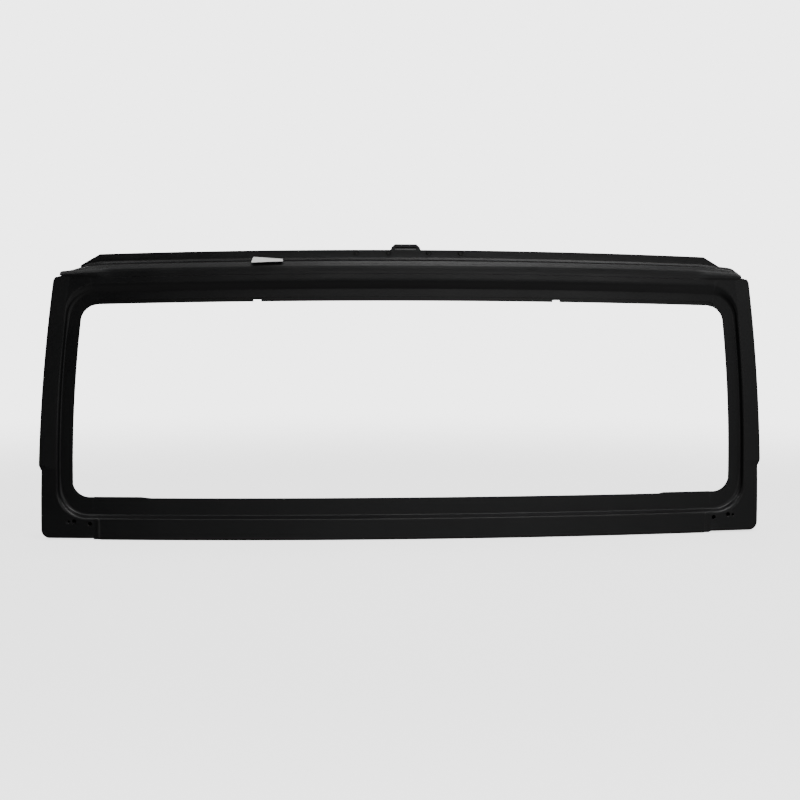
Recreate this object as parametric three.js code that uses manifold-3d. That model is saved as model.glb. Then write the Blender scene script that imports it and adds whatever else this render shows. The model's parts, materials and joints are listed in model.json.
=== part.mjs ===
// Windshield frame of an open utility vehicle: a ring of pressed steel sheet round one
// wide glass opening, bolted to its hinges at the two lower corners.
// Millimetres. +X right as seen from the front, +Y to the rear, +Z up.
// Origin: the middle of the underside. Left and right are as seen from the front.

import * as THREE from 'three';
import { mergeVertices } from 'three/addons/utils/BufferGeometryUtils.js';
import Module from 'manifold-3d';

const wasm = await Module();
wasm.setup();

// ---------------------------------------------------------------- driving dimensions

const sheet = 1.5;            // thickness of the pressed panels
const gap = 0.3;              // air between two sheets that are welded together
const layer = sheet + gap;    // from one sheet's front to the front of the sheet behind it

// Body curvature: the frame bows forward in plan, and its upper lines are crowned.
const bowRadius = 4500;       // radius of the plan bow
const straightFrom = 640;     // beyond this half width the plan is a straight tangent
const crownStart = 60;        // lines below this height are level
const frameTop = 589.5;       // height of the upper edge in the middle
const crownDrop = 14.3;       // how far that edge has fallen at crownHalfWidth
const crownHalfWidth = 700;

// Heights of the section through the middle of the sill and of the header.
const opening = { bottom: 85, top: 486 };
const openingRadii = { lowerRadius: 26, upperRadius: 31 };
const rebateFoot = { bottom: 53, top: 511 };
const rebateLip = { bottom: 43, top: 526 };
const face = { bottom: 2.5, top: 548.5 };

// Side curves: half width at sideReference, then taper and curvature above and below it.
const sideReference = 162.5;
const outerSide = { halfWidth: 750, taper: 0.0354, curve: 1.38e-4 };
const openingSide = { halfWidth: 681.8, taper: 0.0112, curve: 1.81e-4 };
const sideStep = 5.5;         // the door rail stands this far outboard of the pillar
const rebateFootOffset = 27;  // outboard of the opening, on the pillars
const rebateLipOffset = 31;

// Depths behind the outermost face.
const glassDepth = 12;
const boxDepth = 44;
const returnDepth = 30;
const headerReturnDepth = 18;

// Where the ring's panels meet, just before the lower corners' curves begin.
const ringSplit = 641;
const cowlEnd = 627;          // half length of the strip along the cowl
const headerFlat = 525;       // the header's inner stiffener ends here
const cornerSteps = 6;
const sideSteps = 7;
const sillSteps = 6;
const cornerLead = 7;         // spacing of the header's stations where the upper corner begins

// Upper edge: the face falls away towards the pillar's outer corner.
const fallStart = 650;
const fallLength = 66;
const faceFall = 5;

// Rear layer at the header, with its two locating notches.
const headerSetBack = 8;      // the front layer stops short of the rear one
const notch = { places: [-309.5, 301.5], width: 17, height: 4 };

// Door rails on the pillars.
const railBottom = 156;
const railShoulder = 537;
const railEnd = { z: 144, tuck: 3.6 };   // the lower end is joggled in against the pillar
const railTop = { z: 543, tuck: 3.6 };   // the upper end follows the pillar's corner
const railInnerOffset = 33;
const railDepth = 34;
const railLip = 4;

// Hinge bolts, on each lower corner.
const hingeBolts = [
  { x: 648, z: 32.5, radius: 4.3, nut: true },
  { x: 680, z: 37.5, radius: 4.3, nut: true },
  { x: 691, z: 36.8, radius: 2.5, nut: false },
];
const hingePlateThickness = 3;
const nut = { acrossFlats: 13, height: 6 };

// Centre bracket, its tab a little to the left, and the bolts through the top flange.
const bracket = { thickness: 2.5, seat: 48.3, foot: 574, shoulder: 588.8, top: 601, tab: -6.5 };
const flangeBolt = { z: 584, hole: 3.4, shank: 3, flats: 10, headHeight: 4, nutHeight: 5 };
const flangeBoltPlaces = { bracket: 41, flange: 107 };

// ------------------------------------------------------------------- body curvature

function slope(x) {
  return THREE.MathUtils.clamp(x, -straightFrom, straightFrom) / bowRadius;
}

function bow(x) {
  const curved = Math.min(Math.abs(x), straightFrom);
  return (curved * curved) / (2 * bowRadius) + (Math.abs(x) - curved) * (straightFrom / bowRadius);
}

function crown(x, z) {
  const share = Math.max(0, z - crownStart) / (frameTop - crownStart);
  return crownDrop * share * (x / crownHalfWidth) ** 2;
}

// A place on the frame: x across, depth behind the outermost face, z up.
function place(x, depth, z) {
  return new THREE.Vector3(x, depth + bow(x), z - crown(x, z));
}

// --------------------------------------------------------------------- closed bodies

function closedBody(points, triangles) {
  const geometry = new THREE.BufferGeometry();
  const coordinates = points.flatMap((p) => [p.x, p.y, p.z]);
  geometry.setAttribute('position', new THREE.Float32BufferAttribute(coordinates, 3));
  geometry.setIndex(triangles.flat());
  return geometry;
}

function mirrored(geometry) {
  const copy = geometry.clone().scale(-1, 1, 1);
  const index = copy.getIndex();
  for (let i = 0; i < index.count; i += 3) {
    const second = index.getX(i + 1);
    index.setX(i + 1, index.getX(i + 2));
    index.setX(i + 2, second);
  }
  return copy;
}

function toSolid(geometry) {
  const bare = geometry.clone();
  bare.deleteAttribute('normal');
  bare.deleteAttribute('uv');
  const merged = mergeVertices(bare, 1e-4);
  return new wasm.Manifold(new wasm.Mesh({
    numProp: 3,
    vertProperties: new Float32Array(merged.getAttribute('position').array),
    triVerts: new Uint32Array(merged.getIndex().array),
  }));
}

function toGeometry(solid) {
  const mesh = solid.getMesh();
  const geometry = new THREE.BufferGeometry();
  geometry.setAttribute('position', new THREE.BufferAttribute(new Float32Array(mesh.vertProperties), 3));
  geometry.setIndex(new THREE.BufferAttribute(new Uint32Array(mesh.triVerts), 1));
  return geometry;
}

function cut(geometry, cutters) {
  const cleared = cutters.reduce((left, cutter) => left.subtract(toSolid(cutter)), toSolid(geometry));
  return toGeometry(cleared);
}

function join(first, second) {
  return toGeometry(toSolid(first).add(toSolid(second)));
}

// Sheet metal from a grid of points on its front: grid[i][j], with i along the panel
// and j across it. The material lies on the side of (direction i) x (direction j).
function sheetFrom(grid, thickness = sheet) {
  const rows = grid.length;
  const columns = grid[0].length;
  const last = (count, k) => THREE.MathUtils.clamp(k, 0, count - 1);
  const at = (i, j) => grid[last(rows, i)][last(columns, j)];
  const normal = (i, j, step) => {
    const along = at(i + 1, j).clone().sub(at(i - 1, j));
    const across = at(i, step + 1).clone().sub(at(i, step));
    return along.cross(across).normalize();
  };
  const front = [];
  const back = [];
  for (let i = 0; i < rows; i++) {
    for (let j = 0; j < columns; j++) {
      const before = normal(i, j, Math.max(0, j - 1));
      const after = normal(i, j, Math.min(columns - 2, j));
      const mitre = before.clone().add(after).multiplyScalar(thickness / (1 + before.dot(after)));
      front.push(at(i, j));
      back.push(at(i, j).clone().add(mitre));
    }
  }
  const id = (i, j, side) => side * rows * columns + i * columns + j;
  const triangles = [];
  const quad = (a, b, c, d) => triangles.push([a, b, c], [a, c, d]);
  for (let i = 0; i < rows - 1; i++) {
    for (let j = 0; j < columns - 1; j++) {
      quad(id(i, j, 0), id(i, j + 1, 0), id(i + 1, j + 1, 0), id(i + 1, j, 0));
      quad(id(i, j, 1), id(i + 1, j, 1), id(i + 1, j + 1, 1), id(i, j + 1, 1));
    }
    quad(id(i, 0, 0), id(i + 1, 0, 0), id(i + 1, 0, 1), id(i, 0, 1));
    quad(id(i + 1, columns - 1, 0), id(i, columns - 1, 0), id(i, columns - 1, 1), id(i + 1, columns - 1, 1));
  }
  for (let j = 0; j < columns - 1; j++) {
    quad(id(0, j + 1, 0), id(0, j, 0), id(0, j, 1), id(0, j + 1, 1));
    quad(id(rows - 1, j, 0), id(rows - 1, j + 1, 0), id(rows - 1, j + 1, 1), id(rows - 1, j, 1));
  }
  return closedBody([...front, ...back], triangles);
}

// ----------------------------------------------------------------------- frame lines

function evenly(from, to, steps) {
  return Array.from({ length: steps + 1 }, (_, k) => from + ((to - from) * k) / steps);
}

function sideAt(side, z) {
  const height = z - sideReference;
  return side.halfWidth - side.taper * height - side.curve * height * height;
}

// A round corner between start and end, tangent to both lines through the sharp corner.
// share runs from 0 at the start to 1 at the end.
function onCorner(start, corner, end, share) {
  const weights = [(1 - share) ** 2, Math.SQRT2 * share * (1 - share), share ** 2];
  const total = weights[0] + weights[1] + weights[2];
  return [0, 1].map((k) => (weights[0] * start[k] + weights[1] * corner[k] + weights[2] * end[k]) / total);
}

// The share at which a corner that runs inward reaches x, by halving the interval.
function shareAt(corner, x) {
  let low = 0;
  let high = 1;
  for (let k = 0; k < 40; k++) {
    const middle = (low + high) / 2;
    if (onCorner(...corner, middle)[0] > x) low = middle;
    else high = middle;
  }
  return high;
}

// One line of the ring on the right half, as three runs of [x, z] points: along the
// sill, round the pillar panel with both corners, and back along the header.
function frameLine({ bottom, top, side, offset = 0, lowerRadius, upperRadius, fall = 0 }) {
  const edge = (z) => sideAt(side, z) + offset;
  const upper = (x) => top - (fall * Math.max(0, x - fallStart)) / fallLength;
  const lowCorner = [edge(bottom), bottom];
  const highCorner = [edge(top - fall), upper(edge(top - fall))];
  const lowStart = lowCorner[0] - lowerRadius;
  const lowEnd = bottom + lowerRadius;
  const highEnd = highCorner[1] - upperRadius;
  const highStart = highCorner[0] - upperRadius;
  const lower = [[lowStart, bottom], lowCorner, [edge(lowEnd), lowEnd]];
  const higher = [[edge(highEnd), highEnd], highCorner, [highStart, upper(highStart)]];
  const topAt = (x) => (x > highStart ? onCorner(...higher, shareAt(higher, x)) : [x, upper(x)]);
  const sides = evenly(lowEnd, highEnd, sideSteps).slice(1, -1);
  const split = ringSplit + gap;
  const cornerEnd = Math.max(highStart, split + cornerLead);
  return {
    sill: evenly(0, ringSplit, sillSteps).map((x) => [x, bottom]),
    pillar: [
      [split, bottom],
      ...evenly(0, 1, cornerSteps).map((share) => onCorner(...lower, share)),
      ...sides.map((z) => [edge(z), z]),
      ...evenly(0, shareAt(higher, cornerEnd), cornerSteps).map((share) => onCorner(...higher, share)),
      topAt((cornerEnd + split) / 2),
      topAt(split),
    ],
    header: [
      topAt(ringSplit),
      topAt(ringSplit - cornerLead),
      topAt(ringSplit - 2 * cornerLead),
      ...evenly(headerFlat, 0, 5).map((x) => [x, top]),
    ],
  };
}

function panelGrid(lines, run) {
  return lines[0].line[run].map((_, i) => lines.map(({ line, depth }) => {
    const [x, z] = line[run][i];
    return place(x, depth, z);
  }));
}

// A full-width panel: the right half's run and its mirror image, in one grid.
// The sill runs left to right and the header right to left.
function fullWidthGrid(lines, run) {
  const half = panelGrid(lines, run);
  const flip = (row) => row.map((p) => new THREE.Vector3(-p.x, p.y, p.z));
  if (run === 'sill') return [...half.slice(1).reverse().map(flip), ...half];
  return [...half, ...half.slice(0, -1).reverse().map(flip)];
}

// A straight-edged panel across the header from a list of stations and their profiles.
function crossGrid(stations, profileAt) {
  return stations.map((x) => profileAt(x).map(([depth, z]) => place(x, depth, z)));
}

const openingLine = frameLine({ ...opening, side: openingSide, ...openingRadii });
const footLine = frameLine({
  ...rebateFoot, side: openingSide, offset: rebateFootOffset, lowerRadius: 56, upperRadius: 46,
});
const lipLine = frameLine({
  ...rebateLip, side: openingSide, offset: rebateLipOffset, lowerRadius: 60, upperRadius: 54,
});
const faceLine = frameLine({
  ...face, side: outerSide, offset: -sideStep, lowerRadius: 17, upperRadius: 6, fall: faceFall,
});
const outerPanelLines = [
  { line: openingLine, depth: glassDepth },
  { line: footLine, depth: glassDepth },
  { line: lipLine, depth: 0 },
  { line: faceLine, depth: 0 },
];

// ----------------------------------------------------------------------- cut outs

// A cutter through the sheet at x, z, along the depth.
function roundCutter(x, z, radius) {
  return new THREE.CylinderGeometry(radius, radius, 24, 16)
    .rotateZ(slope(x))
    .translate(...place(x, boxDepth, z).toArray());
}

function slotCutter(x, z, length, height) {
  const straight = length - height;
  const slot = new THREE.Shape()
    .absarc(straight / 2, 0, height / 2, -Math.PI / 2, Math.PI / 2)
    .absarc(-straight / 2, 0, height / 2, Math.PI / 2, (3 * Math.PI) / 2);
  return new THREE.ExtrudeGeometry(slot, { depth: 24, bevelEnabled: false, curveSegments: 6 })
    .rotateX(Math.PI / 2)
    .translate(0, 12, 0)
    .rotateZ(slope(x))
    .translate(...place(x, boxDepth, z).toArray());
}

function slotCutters({ places, z, length, height }) {
  return [-1, 1].flatMap((side) => places.map((x) => slotCutter(side * x, z, length, height)));
}

// ----------------------------------------------------------------------- outer panels

function headerOuterPanel() {
  const shortFlange = frameLine({
    bottom: opening.bottom, top: opening.top + headerSetBack, side: openingSide,
    ...openingRadii,
  });
  const lines = [
    { line: shortFlange, depth: glassDepth },
    ...outerPanelLines.slice(1),
    { line: faceLine, depth: headerReturnDepth },
  ];
  return sheetFrom(fullWidthGrid(lines, 'header'));
}

function pillarOuterPanel() {
  const lines = [...outerPanelLines, { line: faceLine, depth: returnDepth }];
  const holes = hingeBolts.map(({ x, z, radius }) =>
    roundCutter(x, z, radius).translate(0, -boxDepth, 0));
  return cut(sheetFrom(panelGrid(lines, 'pillar')), holes);
}

function sillOuterPanel() {
  return sheetFrom(fullWidthGrid(outerPanelLines, 'sill'));
}

// Strip behind the sill's lower edge that hangs lower and meets the cowl.
function sillCowlFlange() {
  const profile = [[layer, 20], [layer, 0]];
  return sheetFrom(crossGrid(evenly(-cowlEnd, cowlEnd, 12), () => profile));
}

// ----------------------------------------------------------------------- inner panels

const headerSlot = { places: [80, 255, 440], z: 538, length: 46, height: 16 };
const sillSlot = { places: [90, 270, 450], z: 28, length: 60, height: 20 };
const pillarHolePlaces = [180, 300, 420];
const pillarHoleRadius = 8;
const innerDepth = glassDepth + layer;
const innerInset = sheet + layer;     // keeps the inner wall inside the outer return

const innerWallOffset = 29;           // outboard of the opening, on the pillars

const innerWall = frameLine({
  bottom: 54, top: 515, side: openingSide, offset: innerWallOffset,
  lowerRadius: 56, upperRadius: 46,
});
const innerFoot = frameLine({
  bottom: 62, top: 506, side: openingSide, offset: 23, lowerRadius: 50, upperRadius: 42,
});

function headerInnerPanel() {
  const rearTop = frameLine({ ...face, top: 562, side: outerSide, lowerRadius: 17, upperRadius: 6 });
  const lines = [
    { line: openingLine, depth: innerDepth },
    { line: innerFoot, depth: innerDepth },
    { line: innerWall, depth: boxDepth },
    { line: rearTop, depth: boxDepth },
  ];
  const notches = notch.places.map((x) =>
    new THREE.BoxGeometry(notch.width, 16, 2 * notch.height)
      .rotateZ(slope(x))
      .translate(...place(x, innerDepth, opening.top).toArray()));
  const accessHoles = slotCutters(headerSlot);
  return cut(sheetFrom(fullWidthGrid(lines, 'header')), [...notches, ...accessHoles]);
}

function pillarInnerPanel() {
  const edge = frameLine({
    bottom: 86.5, top: 487, side: openingSide, offset: 1, lowerRadius: 34, upperRadius: 31,
  });
  const wall = frameLine({
    bottom: face.bottom + innerInset, top: face.top - innerInset, side: outerSide,
    offset: -sideStep - innerInset, lowerRadius: 14, upperRadius: 6, fall: faceFall,
  });
  const lines = [
    { line: edge, depth: innerDepth },
    { line: innerFoot, depth: innerDepth },
    { line: innerWall, depth: boxDepth },
    { line: wall, depth: boxDepth },
    { line: wall, depth: innerDepth },
  ];
  const accessHoles = pillarHolePlaces.map((z) => {
    const wallStart = sideAt(openingSide, z) + innerWallOffset;
    const wallEnd = sideAt(outerSide, z) - sideStep - innerInset;
    return roundCutter((wallStart + wallEnd) / 2, z, pillarHoleRadius);
  });
  return cut(sheetFrom(panelGrid(lines, 'pillar')), accessHoles);
}

function sillInnerPanel() {
  const bottomDepth = 2 * layer + sheet;
  const profile = [
    [innerDepth, opening.bottom - 0.6],
    [innerDepth, 62],
    [boxDepth, 54],
    [boxDepth, sheet],
    [bottomDepth, sheet],
    [bottomDepth, 16],
  ];
  const end = ringSplit - sheet;
  const grid = crossGrid(evenly(-end, end, 12), () => profile);
  const accessHoles = slotCutters(sillSlot);
  return cut(sheetFrom(grid), accessHoles);
}

// --------------------------------------------------------------------- header details

const headerStations = evenly(headerFlat, -headerFlat, 10);

// Roof rail along the top of the header: a skirt over the top of the face, a sloping
// nose, a narrow drain groove and a floor that runs back to the top flange. It narrows to
// a flat tip at each end, and the left end is drawn down further than the right one.
const railMiddle = [
  [-layer, 541], [-layer, 549.5], [7, 564.5],
  [9.5, 563], [12.5, 562.5], [14, 568], [boxDepth, 572.5], [boxDepth, 577],
];
const railTipDepths = [-layer, -layer, -0.5, 1.5, 4, 6, 9, 12];
const railTipFoot = 546.6;
const railTipLift = 2.4;      // the foot of the very end rises off the pillar
const railTips = {
  left: {
    skirt: 550,
    top: 551.5,
    shares: [[700, 1], [694, 0.98], [682, 0.95], [665, 0.82], [652, 0.3]],
  },
  right: {
    skirt: 552,
    top: 555,
    shares: [[700, 1], [694, 0.95], [680, 0.7], [655, 0.3]],
  },
};

function railEndStations(tip, sign) {
  const levels = [railTipFoot, tip.skirt, ...Array(6).fill(tip.top)];
  const profileAt = (share, isEnd) => railMiddle.map(([depth, z], k) => [
    depth + (railTipDepths[k] - depth) * share,
    z + (levels[k] - z) * share + (isEnd && k === 0 ? railTipLift : 0),
  ]);
  const turned = tip.shares.map(([x, share], k) => ({ x: sign * x, profile: profileAt(share, k === 0) }));
  return [...turned, { x: sign * 620, profile: railMiddle }, { x: sign * 572, profile: railMiddle }];
}

function headerRail() {
  const stations = [
    ...railEndStations(railTips.right, 1),
    ...headerStations.map((x) => ({ x, profile: railMiddle })),
    ...railEndStations(railTips.left, -1).reverse(),
  ];
  const grid = stations.map(({ x, profile }) => profile.map(([depth, z]) => place(x, depth, z)));
  return sheetFrom(grid);
}

// Upright plate at the back of the rail, with chamfered ends.
function headerTopFlange() {
  const foot = 546;
  const chamferFoot = 568;
  const rightEnd = { start: 627, end: 666 };
  const leftEnd = { start: -621, end: -660 };
  const stations = [
    rightEnd.end, rightEnd.start, 572, ...headerStations, -572, leftEnd.start, leftEnd.end,
  ];
  const topAt = (x) => (x > rightEnd.start || x < leftEnd.start ? chamferFoot : frameTop);
  const grid = crossGrid(stations, (x) => [[boxDepth + layer, foot], [boxDepth + layer, topAt(x)]]);
  const { bracket: inner, flange: outer } = flangeBoltPlaces;
  const holes = [-outer, -inner, inner, outer].map((x) => roundCutter(x, flangeBolt.z, flangeBolt.hole));
  return cut(sheetFrom(grid), holes);
}

// Hat-section stiffener inside the header, on the inner panel.
function headerReinforcement() {
  const seat = boxDepth - layer;
  const profile = [[seat, 519], [seat, 525], [24, 528], [24, 540], [seat, 553], [seat, 559]];
  return sheetFrom(crossGrid(headerStations, () => profile));
}

function partLabel() {
  const right = [[7, 566.4], [30, 573.4]];
  const left = [[2, 563.8], [33, 576.5]];
  return sheetFrom([
    right.map(([depth, z]) => place(-256, depth, z)),
    left.map(([depth, z]) => place(-320, depth, z)),
  ], 0.3);
}

// --------------------------------------------------------------------- pillar details

// Door rail: an angle over the pillar's face and side, turned in at the rear.
function pillarRail() {
  const full = evenly(railBottom, railShoulder, 9).map((z) => ({ z, tuck: 0 }));
  const grid = [railEnd, ...full, railTop].map(({ z, tuck }) => {
    const outer = sideAt(outerSide, z) - tuck;
    const inner = sideAt(openingSide, z) + railInnerOffset;
    const lip = tuck > 0 ? railLip / 4 : railLip;
    return [
      place(inner, -layer, z),
      place(outer, -layer, z),
      place(outer, railDepth, z),
      place(outer - lip, railDepth, z),
    ];
  });
  return sheetFrom(grid);
}

// Channel inside the pillar box, behind the pillar's face.
function pillarReinforcement() {
  const grid = evenly(120, 500, 8).map((z) => {
    const x = sideAt(openingSide, z) + 36;
    return [place(x, 28, z), place(x, layer, z), place(x + 13, layer, z), place(x + 13, 28, z)];
  });
  return sheetFrom(grid);
}

// ------------------------------------------------------------------- plates and bolts

// A flat plate standing in the frame's face plane, its front at y = 0.
function flatPlate(outline, holes, thickness) {
  const shape = new THREE.Shape(outline.map(([x, z]) => new THREE.Vector2(x, z)));
  shape.holes = holes.map(({ x, z, radius }) => new THREE.Path().absarc(x, z, radius, 0, 2 * Math.PI));
  return new THREE.ExtrudeGeometry(shape, { depth: thickness, bevelEnabled: false, curveSegments: 8 })
    .rotateX(Math.PI / 2)
    .translate(0, thickness, 0);
}

function rectangle(width, height, chamfer) {
  const x = width / 2;
  const z = height / 2;
  return [
    [-x + chamfer, -z], [x - chamfer, -z], [x, -z + chamfer], [x, z - chamfer],
    [x - chamfer, z], [-x + chamfer, z], [-x, z - chamfer], [-x, -z + chamfer],
  ];
}

function hexagon(acrossFlats) {
  const radius = acrossFlats / Math.sqrt(3);
  return Array.from({ length: 6 }, (_, k) => {
    const angle = (k * Math.PI) / 3;
    return [radius * Math.cos(angle), radius * Math.sin(angle)];
  });
}

function hexNut({ acrossFlats, height }, bore) {
  return flatPlate(hexagon(acrossFlats), [{ x: 0, z: 0, radius: bore }], height);
}

const hingePlateCentre = { x: 690, z: 32 };

function hingePlate() {
  const { x: midX, z: midZ } = hingePlateCentre;
  const outline = [[641, 12], [728, 12], [735, 20], [735, 56], [700, 54], [668, 40.5], [641, 40.5]];
  return flatPlate(
    outline.map(([x, z]) => [x - midX, z - midZ]),
    hingeBolts.map(({ x, z, radius }) => ({ x: x - midX, z: z - midZ, radius })),
    hingePlateThickness,
  );
}

const gussetCentre = { x: 650, z: 500 };

// Angle plate on the rear of the upper corner, across the joint of the inner panels.
function cornerGusset() {
  const { x: midX, z: midZ } = gussetCentre;
  const outline = [[590, 520], [668, 520], [686, 502], [690, 440], [712, 440], [704, 532], [590, 540]];
  return flatPlate(outline.map(([x, z]) => [x - midX, z - midZ]), [], sheet);
}

function centreBracket() {
  const { foot, shoulder, top, thickness, tab } = bracket;
  const outline = [
    [-54, foot], [54, foot], [54, shoulder - 3], [51, shoulder], [tab + 32, shoulder],
    [tab + 29, shoulder + 2], [tab + 24, top - 3], [tab + 20, top],
    [tab - 20, top], [tab - 24, top - 3], [tab - 29, shoulder + 2], [tab - 32, shoulder],
    [-51, shoulder], [-54, shoulder - 3],
  ];
  const places = [-flangeBoltPlaces.bracket, flangeBoltPlaces.bracket];
  const holes = places.map((x) => ({ x, z: flangeBolt.z, radius: flangeBolt.hole }));
  return flatPlate(outline, holes, thickness);
}

function flangeBoltBody() {
  const { flats, headHeight, shank } = flangeBolt;
  const length = 14;
  const head = flatPlate(hexagon(flats), [], headHeight).translate(0, -headHeight, 0);
  const stem = new THREE.CylinderGeometry(shank, shank, length, 16).translate(0, length / 2 - 1, 0);
  return join(head, stem);
}

function tappedPlate(width, height, pitch) {
  const holes = [-pitch / 2, pitch / 2].map((x) => ({ x, z: 0, radius: 3 }));
  return flatPlate(rectangle(width, height, 4), holes, 3);
}

// --------------------------------------------------------------------------- assembly

const paint = { color: 0x1c1d20, roughness: 0.42, metalness: 0.1 };
const plating = { color: 0x26272a, roughness: 0.5, metalness: 0.6 };
const paper = { color: 0xe9e9e6, roughness: 0.8, metalness: 0 };

const frame = new THREE.Group();

function add(name, geometry, finish = paint) {
  const mesh = new THREE.Mesh(geometry, new THREE.MeshStandardMaterial(finish));
  mesh.name = name;
  frame.add(mesh);
  return mesh;
}

// Sets a flat piece on the frame at x, depth and z, turned to follow the plan bow.
function seat(mesh, x, depth, z) {
  mesh.position.copy(place(x, depth, z));
  mesh.rotation.z = Math.atan(slope(x));
}

add('header_outer_panel', headerOuterPanel());
add('header_inner_panel', headerInnerPanel());
add('header_reinforcement', headerReinforcement());
add('header_rail', headerRail());
add('header_top_flange', headerTopFlange());
add('sill_outer_panel', sillOuterPanel());
add('sill_inner_panel', sillInnerPanel());
add('sill_cowl_flange', sillCowlFlange());
add('part_label', partLabel(), paper);

const bracketMesh = add('centre_bracket', centreBracket());
bracketMesh.position.y = bracket.seat;

const pillarPieces = {
  pillar_outer_panel: pillarOuterPanel(),
  pillar_inner_panel: pillarInnerPanel(),
  pillar_reinforcement: pillarReinforcement(),
  pillar_rail: pillarRail(),
};

for (const [side, sign] of [['left', -1], ['right', 1]]) {
  for (const [name, geometry] of Object.entries(pillarPieces)) {
    add(`${side}_${name}`, sign < 0 ? mirrored(geometry) : geometry);
  }
  const handed = (geometry) => {
    const indexed = toGeometry(toSolid(geometry));
    return sign < 0 ? mirrored(indexed) : indexed;
  };
  const hinge = add(`${side}_hinge_plate`, handed(hingePlate()));
  seat(hinge, sign * hingePlateCentre.x, layer, hingePlateCentre.z);
  const gusset = add(`${side}_corner_gusset`, handed(cornerGusset()));
  seat(gusset, sign * gussetCentre.x, boxDepth + 2.6, gussetCentre.z);
  seat(add(`${side}_visor_plate`, tappedPlate(64, 22, 40)), sign * 350, boxDepth + 2.2, 532);
  seat(add(`${side}_latch_plate`, tappedPlate(56, 20, 34)), sign * 560, boxDepth + 2 * layer + 0.4, 566);
  hingeBolts.filter((bolt) => bolt.nut).forEach(({ x, z }, k) => {
    const depth = 2 * layer + hingePlateThickness - sheet;
    seat(add(`${side}_hinge_nut_${k + 1}`, hexNut(nut, 4.3), plating), sign * x, depth, z);
  });
  for (const [held, x] of Object.entries(flangeBoltPlaces)) {
    const { z, flats, hole, nutHeight } = flangeBolt;
    const behind = held === 'bracket' ? bracket.seat + bracket.thickness : boxDepth + 2 * layer;
    seat(add(`${held}_bolt_${side}`, flangeBoltBody(), plating), sign * x, boxDepth + sheet, z);
    seat(add(`${held}_nut_${side}`, hexNut({ acrossFlats: flats, height: nutHeight }, hole), plating),
      sign * x, behind + 2 * gap, z);
  }
}

// The origin is the middle of the underside.
const box = new THREE.Box3().setFromObject(frame);
frame.position.set(0, -(box.min.y + box.max.y) / 2, -box.min.z);

export default frame;
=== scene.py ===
"""Looks for the windshield frame: pressed panels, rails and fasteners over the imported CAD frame.

Lengths are in millimetres in the part's flat coordinates: x across, depth behind the
outermost face, z up. place() bends them onto the bowed and crowned frame, and every mesh
is stored in metres.
"""

import json
import math

import bmesh
import bpy
import numpy as np
from mathutils import Matrix, Vector

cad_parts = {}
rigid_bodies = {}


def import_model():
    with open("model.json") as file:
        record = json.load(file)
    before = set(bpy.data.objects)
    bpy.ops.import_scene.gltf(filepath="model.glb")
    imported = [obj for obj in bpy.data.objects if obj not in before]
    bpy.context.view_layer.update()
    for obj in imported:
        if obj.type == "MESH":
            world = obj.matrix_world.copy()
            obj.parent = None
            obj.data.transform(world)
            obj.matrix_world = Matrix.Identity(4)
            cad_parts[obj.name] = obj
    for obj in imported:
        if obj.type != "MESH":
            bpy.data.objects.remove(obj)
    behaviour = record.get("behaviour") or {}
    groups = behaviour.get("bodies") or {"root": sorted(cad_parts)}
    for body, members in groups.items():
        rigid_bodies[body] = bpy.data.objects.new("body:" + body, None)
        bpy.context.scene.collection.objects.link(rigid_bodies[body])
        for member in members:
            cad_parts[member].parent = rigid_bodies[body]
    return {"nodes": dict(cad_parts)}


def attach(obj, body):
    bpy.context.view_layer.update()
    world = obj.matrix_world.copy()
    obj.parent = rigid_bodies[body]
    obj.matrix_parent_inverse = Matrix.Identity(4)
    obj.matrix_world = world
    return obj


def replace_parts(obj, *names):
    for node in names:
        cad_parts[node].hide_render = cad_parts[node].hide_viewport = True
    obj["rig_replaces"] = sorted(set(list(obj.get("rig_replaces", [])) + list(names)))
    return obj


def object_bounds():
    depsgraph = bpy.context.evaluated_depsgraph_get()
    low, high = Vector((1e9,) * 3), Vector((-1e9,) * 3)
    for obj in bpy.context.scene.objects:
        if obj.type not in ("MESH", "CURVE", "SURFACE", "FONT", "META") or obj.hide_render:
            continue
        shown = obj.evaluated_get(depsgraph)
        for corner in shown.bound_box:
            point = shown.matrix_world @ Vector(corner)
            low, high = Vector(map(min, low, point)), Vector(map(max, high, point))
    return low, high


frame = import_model()
cad_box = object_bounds()

BODY = "root"
MM = 0.001
SIDES = (("left", -1), ("right", 1))  # as seen from the front, and the sign of x

# ---------- dimensions, mostly those of the CAD model

SHEET = 1.5  # thickness of the pressed panels
GAP = 0.3  # air between two sheets that are welded together
LAYER = SHEET + GAP

BOW_RADIUS = 4500
STRAIGHT_FROM = 640  # beyond this half width the plan is a straight tangent
CROWN_START = 60  # lines below this height are level
FRAME_TOP = 589.5
CROWN_DROP = 14.3  # how far the upper edge has fallen at CROWN_HALF_WIDTH
CROWN_HALF_WIDTH = 700

OPENING = {"bottom": 85, "top": 486}
OPENING_RADII = {"lower_radius": 26, "upper_radius": 31}
REBATE_FOOT = {"bottom": 50, "top": 511}  # 3 lower on the sill than in the CAD model
REBATE_LIP = {"bottom": 43, "top": 526}
FOOT_RADII = {"lower_radius": 56, "upper_radius": 46}
LIP_RADII = {"lower_radius": 60, "upper_radius": 54}
FACE = {"bottom": 2.5, "top": 548.5}
FACE_RADII = {"lower_radius": 17, "upper_radius": 6}

SIDE_REFERENCE = 162.5
OUTER_SIDE = (750, 0.0354, 1.38e-4)  # half width, taper and curve
OPENING_SIDE = (681.8, 0.0112, 1.81e-4)
SIDE_STEP = 5.5  # the door rail stands this far outboard of the pillar
FOOT_OFFSET = 27  # outboard of the opening, on the pillars
LIP_OFFSET = 31

GLASS_DEPTH = 12
BOX_DEPTH = 44
RETURN_DEPTH = 30
FRONT_DEPTH = -LAYER  # the door rails lie one layer in front of the face

RING_SPLIT = 641  # half width at which the ring's panels meet
COWL_END = 627

FALL_START = 650  # the face's upper edge falls from here to the pillar's corner
FALL_LENGTH = 66
FACE_FALL = 2  # 5 in the CAD model

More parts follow.
